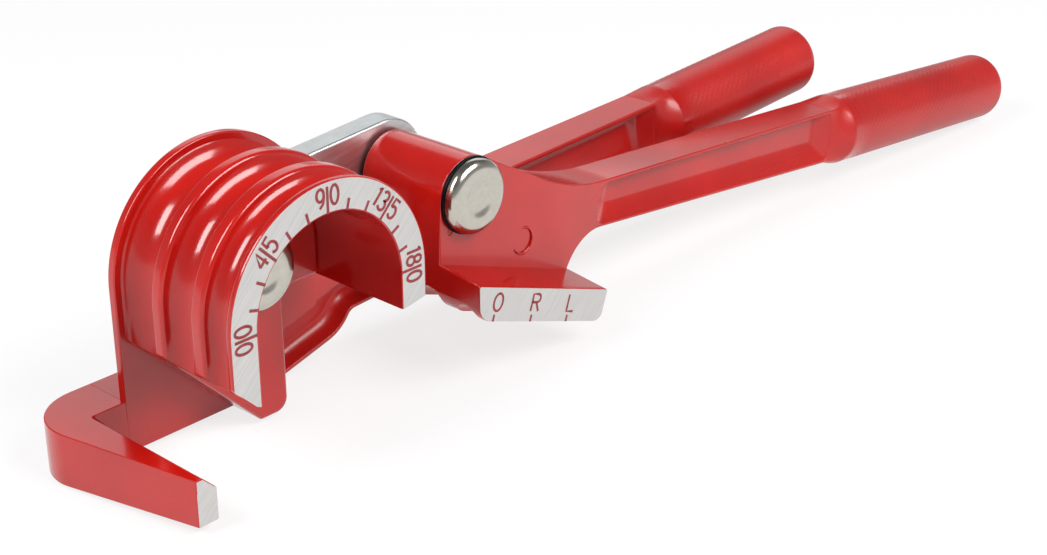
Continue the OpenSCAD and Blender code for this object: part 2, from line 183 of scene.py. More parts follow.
# %% [markdown]
# ### Red enamel on cast aluminium
# The castings are painted in a deep gloss red. Paint flows a little before it dries, which
# leaves soft waves called orange peel, so a wide streak of light breaks up at its edges.
# A fine noise bends the surface, a slow one lets the red drift, and the clear top of the
# paint is the shader's own coat. Some paint is duller: over the knurl of the grips, on the
# arms near them and in the back plate's hollow. Those pieces carry a value per point,
# "matte", from 0 to 1. Everywhere else it reads as 0.

# %% Enamel
red_enamel, tree, shader = blank("red_gloss_enamel")
place = put(tree, "TexCoord").outputs["Object"]
drift = put(tree, "TexNoise", {"Vector": place, "Scale": 45.0, "Detail": 3.0}).outputs["Fac"]
red = shades(tree, drift, (0.3, "#A00E09"), (0.7, "#B4150E"))
tree.links.new(red, shader.inputs["Base Color"])
matte = put(tree, "Attribute", attribute_name="matte").outputs["Fac"]
tree.links.new(spread(tree, matte, 0.18, 0.42), shader.inputs["Roughness"])
tree.links.new(spread(tree, matte, 0.35, 0.1), shader.inputs["Coat Weight"])
peel = put(tree, "TexNoise", {"Vector": place, "Scale": 700.0, "Detail": 2.0}).outputs["Fac"]
bump = put(tree, "Bump", {"Height": peel, "Strength": 0.25, "Distance": 0.00004})
tree.links.new(bump.outputs["Normal"], shader.inputs["Normal"])
shader.inputs["Coat Roughness"].default_value = 0.08
print("enamel:", red_enamel.name)

# %% [markdown]
# ### Bare faces, plating and paint in the marks
# After painting, the scale face, the hook's end and the shoe's index face were ground clean.
# Grinding leaves fine straight scratches, which the eye sees as a light grey that changes in
# streaks. Stretched noise gives those lines: far finer across than along. The pins are bright
# plated, the link has the paler look of zinc, and the washers are dark or plain steel.

# %% Metals


def brushed(name, dark, light, rough, along, across, tilt=0.8, depth=0.00002):
    """Metal with straight fine scratches: noise that is stretched along one direction."""
    m, t, s = blank(name)
    place = put(t, "TexCoord").outputs["Object"]
    lay = put(t, "Mapping", {"Vector": place, "Rotation": (0, tilt, 0)}).outputs["Vector"]
    lay = put(t, "Mapping", {"Vector": lay, "Scale": (along, across * 0.3, across)})
    lines = put(t, "TexNoise", {"Vector": lay.outputs["Vector"], "Scale": 1.0, "Detail": 4.0,
                                "Roughness": 0.7}).outputs["Fac"]
    t.links.new(shades(t, lines, (0.3, dark), (0.7, light)), s.inputs["Base Color"])
    t.links.new(spread(t, lines, *rough), s.inputs["Roughness"])
    bump = put(t, "Bump", {"Height": lines, "Strength": 0.5, "Distance": depth})
    t.links.new(bump.outputs["Normal"], s.inputs["Normal"])
    s.inputs["Metallic"].default_value = 1.0
    return m


ground_metal = brushed("ground_aluminium", "#C4C2C0", "#DEDCDA", (0.38, 0.55), 60.0, 5200.0)
bright_steel = brushed("bright_plated_steel", "#BCB8AE", "#C6C2B8", (0.16, 0.22),
                       700.0, 700.0, 0.3, 0.0000005)
zinc_steel = brushed("zinc_plated_steel", "#C3C7C8", "#DADDDD", (0.3, 0.42), 120.0, 1500.0, 0.2)
black_steel = brushed("black_oxide_steel", "#17181A", "#242628", (0.35, 0.5), 300.0, 2000.0)
plain_steel = brushed("plain_steel", "#84878A", "#A2A5A7", (0.3, 0.45), 200.0, 2000.0)
metals = (ground_metal, bright_steel, zinc_steel, black_steel, plain_steel)
mark_paint, tree, shader = blank("red_mark_paint")
place = put(tree, "TexCoord").outputs["Object"]
worn = put(tree, "TexNoise", {"Vector": place, "Scale": 1500.0}).outputs["Fac"]
red = shades(tree, worn, (0.3, "#701A1E"), (0.7, "#922B2F"))
tree.links.new(red, shader.inputs["Base Color"])
shader.inputs["Roughness"].default_value = 0.45
print("metals:", [m.name for m in metals], "and", mark_paint.name)

# %% [markdown]
# ## From rings of points to a solid skin
# A casting is mostly plates and turned shapes with softened edges. Both are stacks of rings:
# rows of points of equal count, with four-sided faces between each ring and the next. A
# Bevel modifier could soften the edges too, but stacks give the exact radius everywhere. The
# ends are closed by one face, or filled round the mouth of a pocket.

# %% Skin over stacks of rings
ENDS = [[(0, 0)], [(0, -1)]]
CREASE = np.radians(35)


def skin(name, stacks, caps, place, body, finishes, stands_for=(), bare=None):
    """Faces between the rings of each stack; a cap closes one loop, or fills between two."""
    sizes = [s.shape[0] * s.shape[1] for s in stacks]
    ids = [np.arange(n).reshape(s.shape[:2]) + b
           for n, s, b in zip(sizes, stacks, np.cumsum([0] + sizes))]
    quads = []
    for i in ids:
        j = np.roll(i, -1, 1)
        quads.append(np.stack([i[:-1], j[:-1], j[1:], i[1:]], -1).reshape(-1, 4))
    ends = [ids[s][r].tolist() for loops in caps if len(loops) == 1 for s, r in loops]
    points = place(np.concatenate([s.reshape(-1, 3) for s in stacks]))
    mesh = bpy.data.meshes.new(name)
    mesh.from_pydata(points, [], np.concatenate(quads).tolist() + ends)
    work = bmesh.new()
    work.from_mesh(mesh)
    for loops in (c for c in caps if len(c) == 2):
        rim = {i for s, r in loops for i in ids[s][r].tolist()}
        open_edges = [e for e in work.edges
                      if e.is_boundary and all(v.index in rim for v in e.verts)]
        bmesh.ops.triangle_fill(work, edges=open_edges, use_beauty=True)
    bmesh.ops.recalc_face_normals(work, faces=work.faces)
    loose = sum(not e.is_manifold for e in work.edges)
    work.to_mesh(mesh)
    work.free()
    for finish in finishes:
        mesh.materials.append(finish)
    if bare is not None:
        centre = np.zeros(len(mesh.polygons) * 3)
        mesh.polygons.foreach_get("center", centre)
        in_front = centre[1::3] / MM - front_at < bare
        mesh.polygons.foreach_set("material_index", in_front.astype(np.int32))
    mesh.polygons.foreach_set("use_smooth", np.ones(len(mesh.polygons), bool))
    mesh.set_sharp_from_angle(angle=CREASE)
    piece = bpy.data.objects.new(name, mesh)
    bpy.context.scene.collection.objects.link(piece)
    piece.modifiers.new("flat faces stay flat", "WEIGHTED_NORMAL").keep_sharp = True
    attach(piece, body)
    if stands_for:
        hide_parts(*stands_for)
    print(f"{name}: {len(mesh.polygons)} faces, {loose} open edges")
    return piece


def cast(name, stacks, body, caps=ENDS, bare=None):
    """Painted piece of either casting; faces that lie before the depth bare are ground metal."""
    place, node = {"body": (on_body, "body_casting"), "handle": (on_handle, "forming_handle")}[body]
    finishes = [red_enamel] if bare is None else [red_enamel, ground_metal]
    return skin(name, stacks, caps, place, body, finishes, (node,), bare)


# %% [markdown]
# ### Outlines with rounded corners and edges
# A plate starts as its corners seen from the front. Each corner is swapped for the arc that
# touches its two sides. Moving the whole outline inward by a small step, again and again
# along a quarter circle, makes the rounded edge between the face and the side.

# %% Outlines
QUARTER = np.linspace(0, np.pi / 2, 5)


def rounded(corners, radii, steps=9):
    """Closed outline: a corner of radius r becomes the arc of that radius touching both sides."""
    c, rows = np.asarray(corners, float), []
    for p, a, b, r in zip(c, np.roll(c, 1, 0), np.roll(c, -1, 0), np.broadcast_to(radii, len(c))):
        u, v = (a - p) / np.linalg.norm(a - p), (b - p) / np.linalg.norm(b - p)
        half = np.arccos(np.clip(u @ v, -1, 1)) / 2
        mid = p + (u + v) / np.linalg.norm(u + v) * r / np.sin(half)
        s, e = p + u * r / np.tan(half) - mid, p + v * r / np.tan(half) - mid
        sweep = np.degrees(np.arctan2(s[0] * e[1] - s[1] * e[0], s @ e))
        start = np.degrees(np.arctan2(s[1], s[0]))
        rows.append(mid + r * unit(start + np.linspace(0, sweep, steps)) if r else p[None])
    return np.concatenate(rows)


def arc(mid, r, start, stop, steps=24):
    """Points on a circle between two angles."""
    return np.asarray(mid) + r * unit(np.linspace(start, stop, steps))


def inset(outline, d):
    """Every side of a closed outline moved inward by d; a corner goes along its joined normals."""
    side = np.roll(outline, -1, 0) - outline
    n = np.stack([-side[:, 1], side[:, 0]], -1) / np.linalg.norm(side, axis=1, keepdims=True)
    m = np.roll(n, 1, 0)
    return outline + d * (n + m) / (1 + (n * m).sum(1, keepdims=True))


def level(outline, y):
    """A front view outline set at depth y."""
    return np.stack([outline[:, 0], np.full(len(outline), y), outline[:, 1]], -1)


def edge(outline, y, r, way):
    """Quarter round from a face at y into the side: inset r(1 - sin), depth r(1 - cos)."""
    return [level(inset(outline, r * (1 - np.sin(a))), y + way * r * (1 - np.cos(a)))
            for a in QUARTER]


def plate(outline, y0, y1, r0=0.7, r1=0.7):
    """Stack of rings for a plate from y0 to y1 with both edges rounded."""
    return np.array(edge(outline, y0, r0, 1) + edge(outline, y1, r1, -1)[::-1])


def pocket(mouth, y, depth, way, lip, draft, fillet):
    """Rings of a cast pocket: a rounded lip, a wall with draft and a hollow corner at the floor."""
    rows = [level(inset(mouth, -lip * (1 - np.sin(a))), y + way * lip * (1 - np.cos(a)))
            for a in QUARTER]
    rows += [level(inset(mouth, draft + fillet * (1 - np.cos(a))),
                   y + way * (depth - fillet * (1 - np.sin(a)))) for a in QUARTER]
    return np.array(rows)


# %% [markdown]
# ## The former
# Soft tube is bent round this half drum, in the groove of its own size. It is one cross
# section, with three half-round grooves and rounded lands between them, carried down the
# straight side at 0, round the half circle and a little way down the side at 180. The front
# of that section is the ground scale face, so those faces take the bare metal.

# %% Former drum
bend_r, arch_r, web_y, flange_y, plate_y = 24.0, 17.6, 24.0, 32.9, 44.5
grooves = ((4.65, 3.15), (15.35, 4.15), (27.75, 5.15))
drum_back, flange_back = 33.6, 34.9
land_r, scale_bare = 0.9, 0.03


def groove_side(y, r, c=land_r, steps=30):
    """Radius and depth across one groove: land round, hollow, land round, each touching the next."""
    reach = np.sqrt(r * r + 2 * r * c)
    tip = np.degrees(np.arcsin(c / (r + c)))
    lead = np.array([-reach, -c]) + c * unit(np.linspace(90, -tip + 3, 6))
    hollow = r * unit(np.linspace(180 + tip, 360 - tip, steps))
    p = np.concatenate([lead, hollow, lead[::-1] * [-1, 1]])
    return np.stack([p[:, 1] + bend_r, p[:, 0] + y], -1)


outer = np.concatenate([groove_side(*g) for g in grooves])
outer = outer[outer[:, 1] < 32.75]
front_edge = [[bend_r - 0.3, 0], [bend_r - 0.08, 0.08], [bend_r, 0.3]]
back_edge = [[bend_r - 0.8, 33.1], [bend_r - 0.8, drum_back], [arch_r, drum_back]]
arch_edge = [[arch_r, 0.3], [arch_r + 0.08, 0.08], [arch_r + 0.3, 0], [arch_r + 0.7, 0],
             [arch_r + 1.2, 0]]
rho, dep = np.concatenate([front_edge, outer, back_edge, arch_edge]).T
# The side at 0 ends in a cut at 45 degrees with a round tip, the side at 180 in a slant.
zero_end = -8.9 - (bend_r - rho) + np.clip(1 - (rho - arch_r) / 1.2, 0, 1) ** 2
last_end = -7.6 + np.maximum(rho - 22.5, 0) * 2.2 / 3
down = np.array([1, 0.66, 0.33])[:, None]
round_way = unit(np.linspace(180, 0, 97))
way_x = np.concatenate([np.repeat(-rho[None], 3, 0), round_way[:, :1] * rho,
                        np.repeat(rho[None], 3, 0)])
way_z = np.concatenate([zero_end * down, round_way[:, 1:] * rho, last_end * down[::-1]])
drum = np.stack([way_x, np.broadcast_to(dep, way_x.shape), way_z], -1)
cast("former_drum", [drum], "body", bare=scale_bare)

# %% [markdown]
# ## Web, neck and flange
# Behind the arch a thick web holds the centre pin, and a neck carries it down to the bar. A
# thin flange closes the last groove at the back. They are plates with rounded edges, and
# each reaches a little into its neighbour, as one casting does.

# %% Web and flange
web_r, web_foot, web_low, neck_x = 17.8, -34.15, -7.55, 8.2
web = rounded([(-web_r, -15.1), (1.25, web_foot), (neck_x, web_foot), (neck_x, web_low),
               (web_r, web_low), (web_r, web_r), (-web_r, web_r)], [1, 1, 3, 3, 1, 17.7, 17.7], 16)
cast("former_web", [plate(web, web_y, drum_back, 0.9)], "body")
rim_r = 24.4
flange = rounded([(-rim_r, -33), (rim_r, -19.6), (rim_r, rim_r), (-rim_r, rim_r)],
                 [0, 0, 24.3, 24.3], 48)
cast("back_flange", [plate(flange, flange_y - 0.04, flange_back, 0.35, 0.5)], "body")

# %% [markdown]
# ## Back plate and body arm
# The body's own handle leaves the flange as a rounded plate and runs back as a beam with a
# long hollow in each side, which saves metal. The outline is drawn from its real meeting
# points: the slope from the foot touches the round, and a hollow corner leads to the arm.

# %% Back plate and arm
grip_r, dullest = 9.1, 0.8
rise, arm_foot, arm_mid = 2.85, np.array([0, -19.6]), 38.7
arm_end, arm_low, pocket_end, pocket_top = 137.6, -6.3, 136.3, 6.5
plate_low, bar_top = -34.2, -23
handle_rise, handle_drop, handle_mid = 14.2, 12.3, 18.6


def arm_line(x, b):
    """Points on the body arm: x along its axis, b over it."""
    return arm_foot + turned(np.stack([x, b], -1), rise)


def handle_line(x, b):
    """Points on the forming handle's arm: x along its axis, which passes under the pivot."""
    return turned(np.stack([x, np.asarray(b) - handle_drop], -1), handle_rise)


def angle(v):
    """Front view angle of a direction, in degrees."""
    return np.degrees(np.arctan2(v[1], v[0]))


def touch(p, c, r, side):
    """Touching point on a circle of the line from p: its angle is off by the cosine r / distance."""
    e = np.subtract(p, c)
    return c + r * unit(angle(e) + side * np.degrees(np.arccos(r / np.linalg.norm(e))))


def leaves(p, d, c, r):
    """Point where a ray from p along d leaves a circle."""
    e = np.subtract(p, c)
    return p + d * (np.sqrt((e @ d) ** 2 - e @ e + r * r) - e @ d)


side_mid, side_r, corner_r = np.array([24.8, -19.2]), 10.3, 2.6
foot = np.array([neck_x, plate_low])
foot_touch = touch(foot, side_mid, side_r, 1)
corner_mid = leaves(arm_line(0, arm_low - corner_r), unit(rise), side_mid, side_r + corner_r)
arm_top = arm_line(0, 10.2)
slope, rim = angle(foot_touch - foot), 1.05


def low_side(d):
    """Lower outline moved inward by d: the plate's round, then the hollow corner to the arm."""
    turn = arc(side_mid, side_r - d, slope - 90, angle(corner_mid - side_mid), 26)
    corner = arc(corner_mid, corner_r + d, angle(side_mid - corner_mid), rise + 90, 12)
    return np.concatenate([turn, corner[1:]])


arm_plate = np.concatenate([
    [[-rim_r, plate_low], foot], low_side(0),
    [arm_line(arm_end, arm_low), arm_line(arm_end, 7.7), arm_top,
     [arm_top[0] + bar_top - arm_top[1], bar_top], [-rim_r, bar_top]]])
sill, sill_x = foot_touch + rim * unit(slope + 90), 13.2
hollow = np.concatenate([
    [[sill_x, sill[1] + (sill_x - sill[0]) * np.tan(np.radians(slope))]], low_side(rim),
    [arm_line(pocket_end, rim + arm_low), arm_line(pocket_end, pocket_top), arm_line(62, 7.9),
     [30, -17.3], [17, -21], [sill_x, -22]]])
back_hollow = rounded([arm_line(60, -5.2), arm_line(pocket_end, -5.2),
                       arm_line(pocket_end, pocket_top), arm_line(60, 7.9)], 3.2)


def neck(start, half_y, over, under, line, mid, around=192, length=6.7, square=40, ease=0.006):
    """Rings from the arm's four-sided section to the grip's circle: a slope that eases at its end."""
    turn, t = np.linspace(0, 2 * np.pi, around, endpoint=False), np.linspace(0, 1, 28)[:, None]
    grow = (1.1 * t + 1 - np.sqrt((1.1 * t - 1) ** 2 + ease)) / 2
    grow = (grow - grow[0]) / (grow[-1] - grow[0])
    height = np.where(np.sin(turn) > 0, over, under)
    box = (np.abs(np.cos(turn) / half_y) ** square + np.abs(np.sin(turn) / height) ** square)
    box = box ** (-1 / square)
    bar = box + (grip_r - box) * grow
    xz = line(np.broadcast_to(start + length * t, bar.shape), bar * np.sin(turn))
    return np.stack([xz[..., 0], bar * np.cos(turn) + mid, xz[..., 1]], -1)


def drawn_in(stack, where, mid, keep, x0, x1):
    """Depths pulled towards mid: not before x0 on the arm, down to keep after x1, smooth between."""
    t = np.clip((where(stack) - x0) / (x1 - x0), 0, 1)
    k = 1 - (1 - keep) * t * t * (3 - 2 * t)
    return np.stack([stack[..., 0], mid + (stack[..., 1] - mid) * k, stack[..., 2]], -1)


def along_body(p):
    """Distance along the body arm."""
    return (p[..., [0, 2]] - arm_foot) @ unit(rise)


def dull(piece, share):
    """Give the points of a piece their share of dullness."""
    values = np.broadcast_to(np.float32(share), len(piece.data.vertices))
    piece.data.attributes.new("matte", "FLOAT", "POINT").data.foreach_set("value", values)


def ramped(stack, face, lean_from=120, lean_by=1.2):
    """A pocket whose far end leans back: its points move to the foot by a share of their depth."""
    back_by = lean_by * np.abs(stack[..., 1:2] - face) * (along_body(stack) > lean_from)[..., None]
    return stack - back_by * np.insert(unit(rise), 1, 0)


stacks = [plate(arm_plate, flange_y, plate_y, 0.5, 0.5),
          ramped(pocket(hollow, flange_y, 4.0, 1, 0.25, 0.4, 2.6), flange_y),
          ramped(pocket(back_hollow, plate_y, 4.0, -1, 0.25, 0.4, 1.5), plate_y)]
stacks = [drawn_in(s, along_body, arm_mid, 0.81, 40, 75) for s in stacks]
stacks.append(neck(136.8, 4.72, 7.75, 6.32, arm_line, arm_mid))
arm_caps = [[(0, 0), (1, 0)], [(1, -1)], [(0, -1), (2, 0)], [(2, -1)], [(3, 0)], [(3, -1)]]
piece = cast("body_plate_and_arm", stacks, "body", arm_caps)
shares = [np.clip((along_body(s) - 110) / 20, 0, dullest) for s in stacks]
shares[1][2:] = dullest
dull(piece, np.concatenate([s.ravel() for s in shares]))

# %% [markdown]
# ## The hook
# A tube's straight end lies behind this hook while the other end is pulled round. Seen from
# above it is an L with a generous outer corner. It is a stack of plan outlines from its base
# up; the top one is narrower inside, which makes the chamfer, and the base rises to the tip.

# %% Hook and bar
hook_x, hook_low, turn_r = -29.15, -34.16, 11
chamfer, base_soft, tip_rise, bar_tall = 3, 0.28, 1.4, 11.2
tip = np.array([-33.75, 0])
lean_side = touch(tip, np.array([hook_x, 33.5]), turn_r, -1) - tip
outer_corner = tip + lean_side * (plate_y - 0.04) / lean_side[1]


def hook_plan(inner):
    """Plan outline (x, y) of the hook and bar, with its inner side moved out by inner."""
    front, back_y, side = flange_y + 0.04, plate_y - 0.04, hook_x - inner
    corners = [tip, (side, 0), (side, front), (-22, front), (-22, back_y), outer_corner]
    return rounded(corners, [0.3, 0.3, 0.7, 0, 0, turn_r], 14)


low, high = hook_plan(0), hook_plan(chamfer)
plans = [(inset(low, base_soft * (1 - np.sin(a))), hook_low + base_soft * (1 - np.cos(a)))
         for a in QUARTER]
plans += [(low, -26.6), (inset(low * 0.9 + high * 0.1, 0.03), -26.15),
          (inset(low * 0.1 + high * 0.9, 0.03), -23.42),
          (inset(high, 0.08), -23.16), (inset(high, 0.25), -23.04)]
rings = np.array([np.column_stack([p, np.full(len(p), z)]) for p, z in plans])
shorter = 1 - tip_rise / bar_tall * np.clip(1 - rings[..., 1] / flange_y, 0, 1)
rings[..., 2] = bar_top + (rings[..., 2] - bar_top) * shorter
cast("hook_and_bar", [rings], "body", bare=scale_bare)

# %% [markdown]
# ## Grips
# Both handles end in round grips with a light diagonal knurl under the paint. Two waves that
# wind round the bar in opposite ways make it, in whole turns, so that it closes on itself.
# It is real relief, a few hundredths of a millimetre deep: light catches its ridges.

# %% Grips


def grip(name, stop, line, mid, body, start=143.2, around=192, starts=32, pitch=2.1):
    """Ring radius: full with a rounded end, less a fading sum of two waves winding opposite ways."""
    end_r, step, deep, fade_in = 3.5, 0.42, 0.035, 6
    t, size = np.radians(np.linspace(0, 90, 10)), stop - start
    turn = np.linspace(0, 2 * np.pi, around, endpoint=False)
    length = np.concatenate([np.arange(0, size - end_r - 0.1, step),
                             size - end_r + end_r * np.sin(t)])
    bar = np.full(len(length), grip_r)
    bar[-len(t):] = grip_r - end_r + end_r * np.cos(t)
    fade = np.clip(np.minimum(length - 0.5, size - 5 - length) / fade_in, 0, 1)[:, None]
    wave = [np.cos(2 * np.pi * length[:, None] / pitch + way * starts * turn) for way in (1, -1)]
    bar = bar[:, None] - deep * fade * (1.4 - wave[0] - 0.4 * wave[1])
    xz = line(np.broadcast_to((start + length)[:, None], bar.shape), bar * np.sin(turn))
    grid = np.stack([xz[..., 0], bar * np.cos(turn) + mid, xz[..., 1]], -1)
    dull(cast(name, [grid], body), np.repeat(np.clip((length - 0.5) / fade_in, 0, 1), around))


grip("body_grip", 201, arm_line, arm_mid, "body")
grip("forming_grip", 221.5, handle_line, handle_mid, "handle")

# %% [markdown]
# ## The forming handle
# A round boss turns on the pivot pin. From it a plate sweeps down to the shoe and back into
# the arm, with a wide hollow curve above and a tight one below. One outline of seven
# corners holds all of that, since each curve touches the two lines beside it.

# %% Plate, boss and arm
boss_r, shoe_top, face_y, far_y = 8.3, -16.2, 11.9, 25.3
land_z, shoe_x0, shoe_x1 = -23.5, -1.4, 38.4


def crossing(p, d, q, e):
    """Where the line through p along d meets the line through q along e."""
    return p + d * (((q[0] - p[0]) * e[1] - (q[1] - p[1]) * e[0]) / (d[0] * e[1] - d[1] * e[0]))


heel = np.array([shoe_x0, land_z])
boss_touch = touch(heel, np.zeros(2), boss_r, -1)
high_at, low_at = handle_line(0, 5.6), handle_line(0, -4.0)
high_to, low_to = handle_line(137.4, 7.3), handle_line(137.4, -6.6)
boss_high = boss_r * unit(80)
boss_corner = crossing(boss_touch, boss_touch - heel, boss_high, unit(-10))
top_corner = crossing(boss_high, unit(-10), high_at, high_to - high_at)
low_corner = crossing(np.array([shoe_x1, 0]), unit(90), low_at, low_to - low_at)
heel_up = heel + (boss_touch - heel) * 4 / (boss_touch - heel)[1]
arm_shape = rounded([heel_up + [0.06, 0], (shoe_x1 - 0.06, land_z + 4), low_corner, low_to,
                     high_to, top_corner, boss_corner], [0, 0, 12.4, 0, 0, 61, boss_r], 18)


def scoop(y, way, x0=43, x1=136.2, depth=3.4, lip=0.25):
    """Hollow in the arm: upright at the top, a long slope from the lower edge, sloping ends."""
    along = np.array([x0, x1]) / 138.3
    over, under = 4.7 + 1.7 * along, 3.1 + 2.6 * along
    mouth = rounded([(x0, -under[0]), (x1, -under[1]), (x1, over[1]), (x0 + 2, over[0])],
                    [2.5, 1.2, 1.2, 3.2], 12)
    x, b = mouth.T
    mid, rows = (x0 + x1) / 2, [level(handle_line(*inset(mouth, -lip).T), y)]
    for u in np.linspace(0, 1, 9):
        deep = 1 - (1 - u) ** 1.25
        away = mid + (x - mid) * (1 - deep * 11 / (x1 - x0))
        height = np.where(b < 0, b * (1 - 0.97 * u), b * (1 - 0.02 * u))
        rows.append(level(handle_line(away, height), y + way * (lip + (depth - lip) * deep)))
    return np.array(rows)


def along_handle(p):
    """Distance along the forming handle's arm."""
    return p[..., [0, 2]] @ unit(handle_rise)


stacks = [plate(arm_shape, face_y, far_y, 0.35, 0.35), scoop(face_y, 1), scoop(far_y, -1)]
stacks = [drawn_in(s, along_handle, handle_mid, 0.75, 22, 52) for s in stacks]
stacks.append(neck(136.6, 5.05, 7.32, 6.62, handle_line, handle_mid))
piece = cast("forming_plate_and_arm", stacks, "handle", arm_caps)
far_along = np.concatenate([along_handle(s).ravel() for s in stacks])
dull(piece, np.clip((far_along - 128) / 10, 0, dullest))


def bead(line, r, y, around=12):
    """Round bead along a line, half sunk in the face at y: a small circle across each point."""
    run = np.gradient(line, axis=0)
    n = np.stack([-run[:, 1], run[:, 0]], -1) / np.linalg.norm(run, axis=1, keepdims=True)
    turn = np.linspace(0, 2 * np.pi, around, endpoint=False)
    thin = r * np.sqrt(np.sin(np.linspace(0.05, np.pi - 0.05, len(line))))[:, None]
    xz = line[:, None] + n[:, None] * (thin * np.cos(turn))[..., None]
    return np.stack([xz[..., 0], y + thin * np.sin(turn), xz[..., 1]], -1)


bead_y = 11.98
beads = [bead(arc((20.5, -9.1), 2.9, 115, -135, 40), 0.42, bead_y),
         bead(arc((-3.0, -8.0), 0.55, 90, 430, 20), 0.35, bead_y)]
bead_ends = [[(i, e)] for i in (0, 1) for e in (0, -1)]
skin("casting_mark", beads, bead_ends, on_handle, "handle", [red_enamel])
boss = arc((0, 0), boss_r - 0.04, 0, 355, 72)
cast("forming_boss", [plate(boss, 20, flange_back, 0.5, 0.6)], "handle")
block = rounded([boss_touch, heel_up, (13, shoe_top), (6.3, 0), (0, 0)], 0.95, 4)
cast("shoe_block", [plate(inset(block, 0.08), 24, 32.36, 0.3, 0.8)], "handle")

# %% [markdown]
# ## The shoe
# The shoe presses the tube into the groove: its underside carries the other half of each
# round. Its front view outline is repeated from front to back, and wherever a groove passes,
# the outline's low points are lifted to the groove's round. The front end is ground bare.

# %% Shoe with its three half grooves
shoe_high, shoe_front, gap = -15.0, 0.2, 1
shoe = rounded([(shoe_x0, land_z), (shoe_x1, land_z), (shoe_x1, shoe_high),
                (shoe_x0 - 2.65, shoe_high)], [4.2, 2.6, 0.5, 0.5], 12)
across = np.concatenate([c - np.sqrt(r * r - gap) * np.cos(np.linspace(0, np.pi, 21))
                         for c, r in grooves])
depths = np.concatenate([[shoe_front, 0.24, 0.5], across[across < 32], [32.1, 32.4]])
half_round = [np.sqrt(np.maximum(r * r - (depths - c) ** 2, 0)) for c, r in grooves]
lift = np.maximum(land_z, land_z - gap + np.max(half_round, 0))
crest = shoe_top + (shoe_high - shoe_top) * np.clip((depths - shoe_front) / 11.7, 0, 1)
shrink = np.select([depths < 0.22, depths < 0.3, depths > 32.2], [0.25, 0.1, 0.4], 0)
rings = np.array([level(inset(shoe, s), d) for s, d in zip(shrink, depths)])
part_up = (rings[..., 2] - land_z) / (shoe_high - land_z)
rings[..., 2] = np.maximum(land_z + part_up * (crest - land_z)[:, None], (lift + shrink)[:, None])
cast("bending_shoe", [rings], "handle", bare=0.22)

# %% [markdown]
# ## Link, pins and washers
# A flat zinc plated bar joins the two pins behind the castings. The pins have low round heads
# with a shallow dish, turned from bar: a lathe does the same as our profile of radius against
# depth. The dark ring under the pivot pin's head shows its edge, so it is drawn with soft ones.
# The other washers and the snap rings are plain turned parts, so their solids stay.

# %% Link and pins
link_r, link_front, link_back = 10.2, 35.62, 41.62
link = np.concatenate([arc((0, 0), link_r, 90, 270, 40), arc((link_len, 0), link_r, -90, 90, 40)])
skin("link_bar", [plate(link, link_front, link_back, 0.6, 0.6)], ENDS, on_link, "link",
     [zinc_steel], ("link_plate",))


def dished_pin(name, x, seat, ring, body, node, around=96):
    """Turned pin: rings of the profile's radius, from the dish over the rim and down the shank."""
    face, end, shank, neck_r = seat - 2.6, ring + 2.0, 4, 3.2
    t = np.radians(np.linspace(0, 90, 9))
    dish = np.concatenate([[0.2, 1.2], np.linspace(2.2, 5.0, 12)])
    dish_y = face + 0.02 + 0.3 * (1 + np.cos(np.pi * np.clip((dish - 2.2) / 2.8, 0, 1)))
    r = np.concatenate([dish, [5.2, 5.4], 5.6 + 2.4 * np.sin(t),
                        [8, 7.6, shank, shank, neck_r, neck_r, shank, shank, 3.5, 0.25]])
    y = np.concatenate([dish_y, [face + 0.01, face], face + 1.8 - 1.8 * np.cos(t),
                        [seat - 0.2, seat, seat, ring, ring, ring + 1, ring + 1,
                         end - 0.5, end, end]])
    turn = np.linspace(0, 2 * np.pi, around, endpoint=False)
    grid = np.stack([x + r[:, None] * np.cos(turn), np.repeat(y[:, None], around, 1),
                     r[:, None] * np.sin(turn)], -1)
    skin(name, [grid], ENDS, on_link, body, [bright_steel], (node,))


dished_pin("center_pin_turned", 0, 21.1, 42.88, "body", "center_pin")
dished_pin("pivot_pin_turned", link_len, 11.14, 42.82, "link", "pivot_pin")
seal = arc((link_len, 0), boss_r, 0, 355, 72)
skin("pivot_dark_ring", [plate(seal, 11.1, 11.86, 0.2, 0.1)], ENDS, on_link, "link",
     [black_steel], ("pivot_head_washer",))
for finish, nodes in ((black_steel, ("center_head_washer", "center_clip", "pivot_clip")),
                      (plain_steel, ("center_thrust_washer", "pivot_thrust_washer",
                                     "center_back_washer", "pivot_back_washer"))):
    for node in nodes:
        frame["nodes"][node].material_slots[0].material = finish
print("washers and snap rings finished")

# %% [markdown]
# ## Scale and index marks
# Lines every 15 degrees and figures every 45 tell how far the tube is bent. They are stamped
# and filled with red paint. A single stroke alphabet is enough: each figure is a few lines
# and arcs, and a thin flat strip follows each of them, a hair proud of the bare face.

# %% Strokes


def bow(cx, cy, rx, ry, start, stop, steps=14):
    """Part of an ellipse as a stroke."""
    return np.array([cx, cy]) + unit(np.linspace(start, stop, steps)) * [rx, ry]


